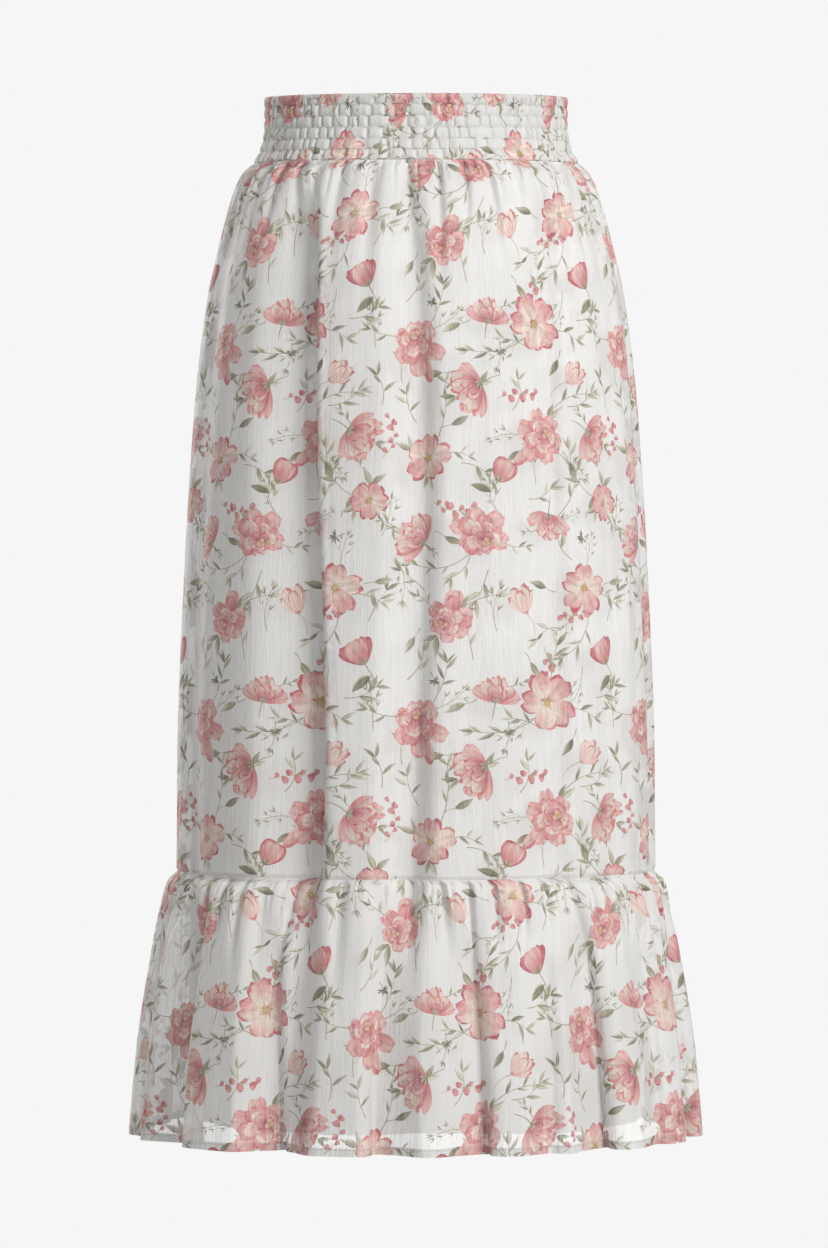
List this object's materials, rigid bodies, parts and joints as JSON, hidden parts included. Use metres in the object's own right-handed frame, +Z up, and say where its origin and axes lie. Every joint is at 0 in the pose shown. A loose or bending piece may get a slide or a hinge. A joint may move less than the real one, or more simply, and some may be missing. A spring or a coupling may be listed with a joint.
{
  "type": "midi skirt",
  "caption": "Filled-out midi skirt of thin printed chiffon with a shirred waistband, a gathered upper tier, a gathered hem flounce and a plain lining",
  "frame": {"origin": "middle of the waist, halfway up the waistband's height at the side seams, where a wearer holds the skirt up", "axes": "+Z up along the skirt's length, front faces -Y, wearer's left side towards +X"},
  "size_m": [0.4636, 0.3451, 0.8446],
  "materials": {
    "shirred_chiffon": "white chiffon printed with pink flowers, puckered by elastic stitching",
    "printed_chiffon": "sheer white crinkled chiffon printed with pink flowers and olive leaves",
    "white_lining": "plain smooth white lining cloth"
  },
  "bodies": {
    "root": {"waistband_front": "shirred_chiffon", "waistband_back": "shirred_chiffon", "skirt_front": "printed_chiffon", "skirt_back": "printed_chiffon", "flounce_front": "printed_chiffon", "flounce_back": "printed_chiffon", "lining_front": "white_lining", "lining_back": "white_lining"}
  },
  "joints": []
}
